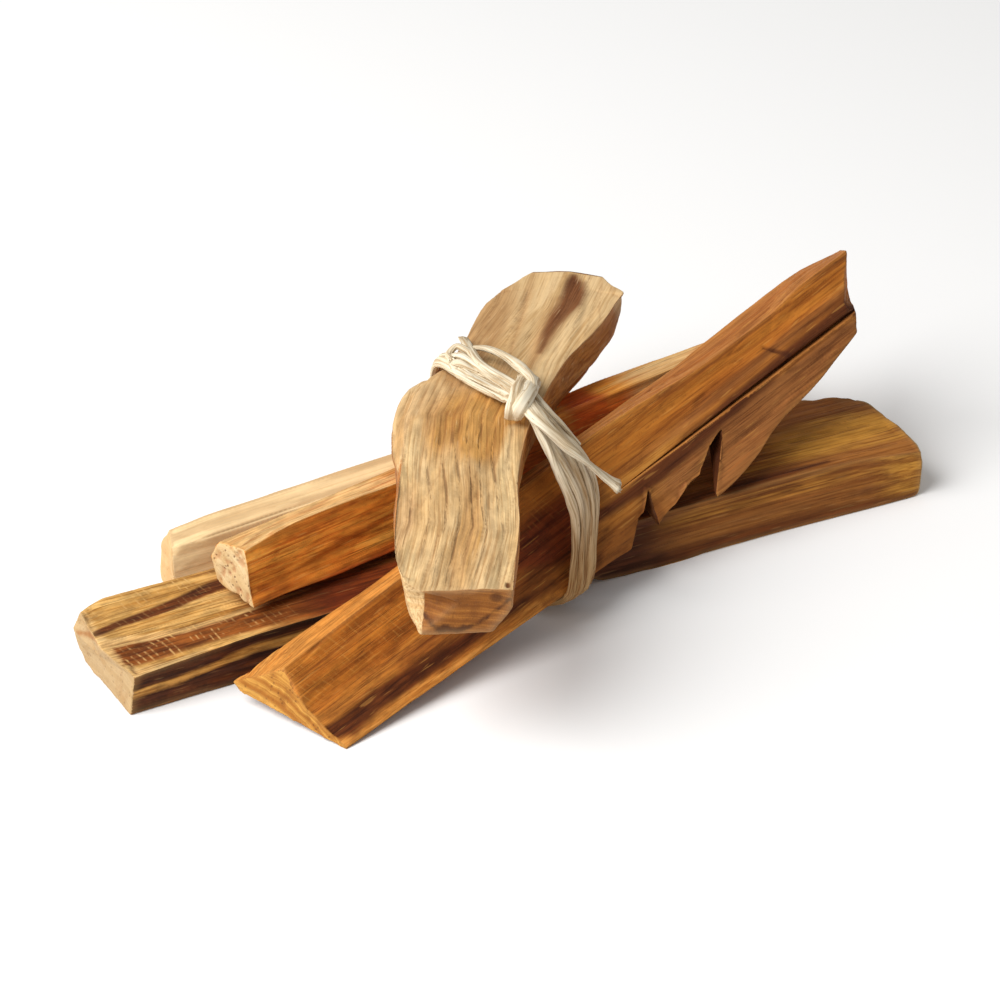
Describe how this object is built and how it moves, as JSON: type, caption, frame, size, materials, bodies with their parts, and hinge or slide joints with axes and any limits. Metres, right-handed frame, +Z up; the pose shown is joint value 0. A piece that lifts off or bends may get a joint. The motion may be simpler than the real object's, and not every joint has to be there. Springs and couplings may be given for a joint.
{
  "type": "palo santo stick",
  "caption": "Bundle of split palo santo sticks, one laid across the others, bound round the middle with a knotted raffia tie.",
  "frame": {"origin": "centre of the bundle's bounding box, on the plane it rests on", "axes": "+Z up, +X along the bundle's longest stick, +Y away from the side that the picture shows"},
  "size_m": [0.1034, 0.064, 0.0232],
  "materials": {
    "striped_wood": "raw split wood, matte",
    "pale_wood": "raw split wood, matte",
    "orange_wood": "raw split wood, matte",
    "golden_wood": "raw split wood, matte",
    "cross_wood": "raw split wood, matte",
    "raffia": "dry natural raffia, matte"
  },
  "bodies": {
    "root": {"striped_stick": "striped_wood", "pale_stick": "pale_wood", "orange_stick": "orange_wood", "golden_stick": "golden_wood", "cross_stick": "cross_wood", "tie": "raffia"}
  },
  "joints": []
}
